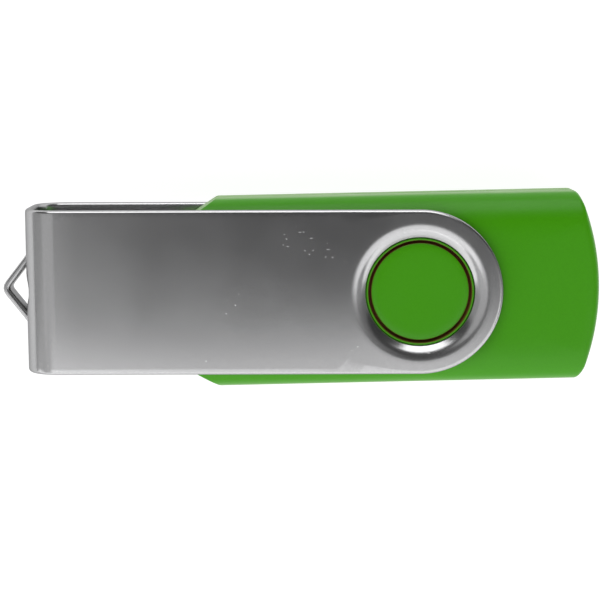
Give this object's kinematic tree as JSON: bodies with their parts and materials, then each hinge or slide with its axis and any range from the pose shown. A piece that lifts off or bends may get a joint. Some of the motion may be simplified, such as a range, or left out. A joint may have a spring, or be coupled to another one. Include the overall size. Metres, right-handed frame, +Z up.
{
  "type": "usb flash drive",
  "caption": "USB flash drive with a plastic housing and a bent metal clip that swivels on round bosses to cover the plug, with a key loop on the clip.",
  "frame": {"origin": "on the surface the drive lies on, under the middle of the bounding box", "axes": "+X from the plug to the curved tail, +Z up through both faces of the housing, along the swivel axis"},
  "size_m": [0.0604, 0.0192, 0.011],
  "materials": {
    "clip_metal": "satin, finely blasted stainless steel",
    "green_plastic": "matt, slightly soft green plastic",
    "plug_metal": "bright nickel plate",
    "white_plastic": "off-white moulded plastic",
    "contact_gold": "gold flash over a copper alloy",
    "board_laminate": "glass laminate with green solder mask",
    "solder": "bright solder",
    "chip_plastic": "black moulding compound",
    "tinned_lead": "tin plate",
    "ceramic": "fired ceramic",
    "clear_lens": "clear lens resin",
    "capacitor_ceramic": "tan ceramic"
  },
  "bodies": {
    "drive": {"upper_housing": "green_plastic", "lower_housing": "green_plastic", "plug_shell": "plug_metal", "plug_insulator": "white_plastic", "power_contact": "contact_gold", "data_minus_contact": "contact_gold", "data_plus_contact": "contact_gold", "ground_contact": "contact_gold", "circuit_board": "board_laminate", "contact_solder_joints": "solder", "plug_solder_joints": "solder", "flash_chip": "chip_plastic", "flash_chip_leads": "tinned_lead", "controller_chip": "chip_plastic", "controller_chip_leads": "tinned_lead", "crystal_base": "ceramic", "crystal_lid": "tinned_lead", "led_base": "white_plastic", "led_lens": "clear_lens", "resistors": "chip_plastic", "resistor_terminals": "tinned_lead", "capacitors": "capacitor_ceramic", "capacitor_terminals": "tinned_lead"},
    "clip": {"swivel_clip": "clip_metal"}
  },
  "joints": [
    {"name": "clip_swivel", "type": "hinge", "parent": "drive", "child": "clip", "pos_m": [0.0121, 0, 0.0055], "axis": [0, 0, 1], "continuous": true}
  ]
}
